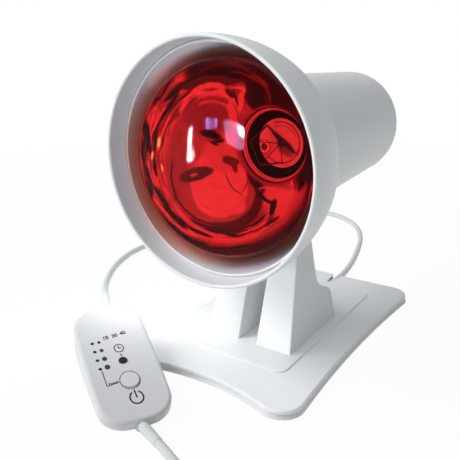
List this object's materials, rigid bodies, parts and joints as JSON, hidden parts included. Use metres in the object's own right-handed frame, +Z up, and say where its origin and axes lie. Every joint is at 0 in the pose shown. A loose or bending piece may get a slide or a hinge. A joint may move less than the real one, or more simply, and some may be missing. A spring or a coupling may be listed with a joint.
{
  "type": "infrared heat therapy lamp",
  "caption": "Table heat lamp: red reflector bulb in a round tilting shade on a pair of posts and a flat base, with a wired handset that has a power and a timer button.",
  "frame": {"origin": "on the table under the centre of the base", "axes": "+Z up, +X to the lamp's right seen from the front, and the lamp shines along -Y"},
  "size_m": [0.4422, 0.59, 0.2267],
  "materials": {
    "ballast_plate": "zinc plated",
    "base_bottom_cover": "satin",
    "base_leads": "smooth",
    "base_screws": "zinc plated",
    "base_top_shell": "satin",
    "board_parts": "plain",
    "bolt_cap": "satin",
    "bracket_screws": "zinc plated",
    "bulb_cap": "plain",
    "bulb_contact": "black glass",
    "bulb_front": "red glass",
    "bulb_reflector": "silvered glass",
    "bulb_stem": "clear glass",
    "centre_contact": "plain",
    "coil_tie": "satin",
    "collar_screws": "zinc plated",
    "control_board": "coated",
    "cord_bush": "matt",
    "filament": "drawn",
    "filament_wires": "drawn",
    "friction_washers": "smooth",
    "handset_bottom_shell": "satin",
    "handset_screws": "zinc plated",
    "handset_top_shell": "satin",
    "head_leads": "woven",
    "heat_disc": "plain",
    "heat_shield": "plain",
    "indicator_leds": "tinted",
    "lamp_flex": "satin",
    "lamp_flex_relief": "matt",
    "lampholder_body": "glazed ceramic",
    "lampholder_bracket": "zinc plated",
    "lampholder_shell": "plain",
    "lead_splices": "plain",
    "left_post": "satin",
    "lug_screws": "zinc plated",
    "mains_flex": "satin",
    "mains_flex_coil": "satin",
    "mains_flex_relief": "matt",
    "pivot_bolt": "zinc plated",
    "pivot_nut": "zinc plated",
    "plug_body": "satin",
    "plug_flex": "satin",
    "plug_pins": "nickel plated",
    "plug_relief": "matt",
    "post_screws": "zinc plated",
    "power_button": "satin",
    "rear_housing": "satin",
    "right_post": "satin",
    "rubber_feet": "matt",
    "shade_bowl": "satin",
    "shade_liner": "satin",
    "tact_switches": "plain",
    "tilt_lug": "satin",
    "timer_button": "satin"
  },
  "bodies": {
    "base": {"ballast_plate": "ballast_plate", "base_bottom_cover": "base_bottom_cover", "base_leads": "base_leads", "base_screws": "base_screws", "base_top_shell": "base_top_shell", "board_parts": "board_parts", "bolt_cap": "bolt_cap", "coil_tie": "coil_tie", "control_board": "control_board", "cord_bush": "cord_bush", "friction_washers": "friction_washers", "handset_bottom_shell": "handset_bottom_shell", "handset_screws": "handset_screws", "handset_top_shell": "handset_top_shell", "indicator_leds": "indicator_leds", "lamp_flex": "lamp_flex", "lamp_flex_relief": "lamp_flex_relief", "lead_splices": "lead_splices", "left_post": "left_post", "mains_flex": "mains_flex", "mains_flex_coil": "mains_flex_coil", "mains_flex_relief": "mains_flex_relief", "pivot_bolt": "pivot_bolt", "pivot_nut": "pivot_nut", "plug_body": "plug_body", "plug_flex": "plug_flex", "plug_pins": "plug_pins", "plug_relief": "plug_relief", "post_screws": "post_screws", "right_post": "right_post", "rubber_feet": "rubber_feet", "tact_switches": "tact_switches"},
    "head": {"shade_bowl": "shade_bowl", "shade_liner": "shade_liner", "collar_screws": "collar_screws", "rear_housing": "rear_housing", "tilt_lug": "tilt_lug", "lug_screws": "lug_screws", "heat_shield": "heat_shield", "lampholder_body": "lampholder_body", "lampholder_shell": "lampholder_shell", "centre_contact": "centre_contact", "lampholder_bracket": "lampholder_bracket", "bracket_screws": "bracket_screws", "head_leads": "head_leads", "bulb_front": "bulb_front", "bulb_reflector": "bulb_reflector", "bulb_cap": "bulb_cap", "bulb_contact": "bulb_contact", "bulb_stem": "bulb_stem", "heat_disc": "heat_disc", "filament": "filament", "filament_wires": "filament_wires"},
    "power_button": {"power_button": "power_button"},
    "timer_button": {"timer_button": "timer_button"}
  },
  "joints": [
    {"name": "head_tilt", "type": "hinge", "parent": "base", "child": "head", "pos_m": [0, -0.0124, 0.084], "axis": [1, 0, 0], "range_deg": [-35, 30]},
    {"name": "power_press", "type": "slide", "parent": "base", "child": "power_button", "axis": [-0.2646, 0.1647, -0.9502], "range_m": [0, 0.0008], "stiffness_N_per_m": 1500},
    {"name": "timer_press", "type": "slide", "parent": "base", "child": "timer_button", "axis": [-0.2646, 0.1647, -0.9502], "range_m": [0, 0.0008], "stiffness_N_per_m": 1200}
  ]
}
